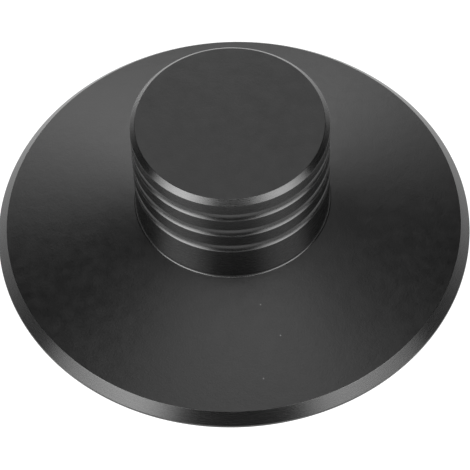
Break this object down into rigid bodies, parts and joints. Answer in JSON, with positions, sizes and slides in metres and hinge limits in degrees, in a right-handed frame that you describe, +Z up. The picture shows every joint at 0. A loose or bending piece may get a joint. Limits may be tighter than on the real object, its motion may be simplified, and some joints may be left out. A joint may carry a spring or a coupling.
{
  "type": "record weight",
  "caption": "Turned disc weight for a record player: a shallow conical brim with a chamfered rim, a finger-grooved knob and a blind spindle bore underneath.",
  "frame": {"origin": "on the turning axis, at the flat underside that rests on the record's label", "axes": "+Z up along the turning axis, from the underside to the knob's top face; the part is round, so X and Y are any two level directions"},
  "size_m": [0.08, 0.08, 0.0286],
  "materials": {
    "anodised_aluminium": "black anodised, satin over a fine bead-blasted texture, with faint turning marks on the chamfers"
  },
  "bodies": {
    "root": {"record_weight": "anodised_aluminium"}
  },
  "joints": []
}
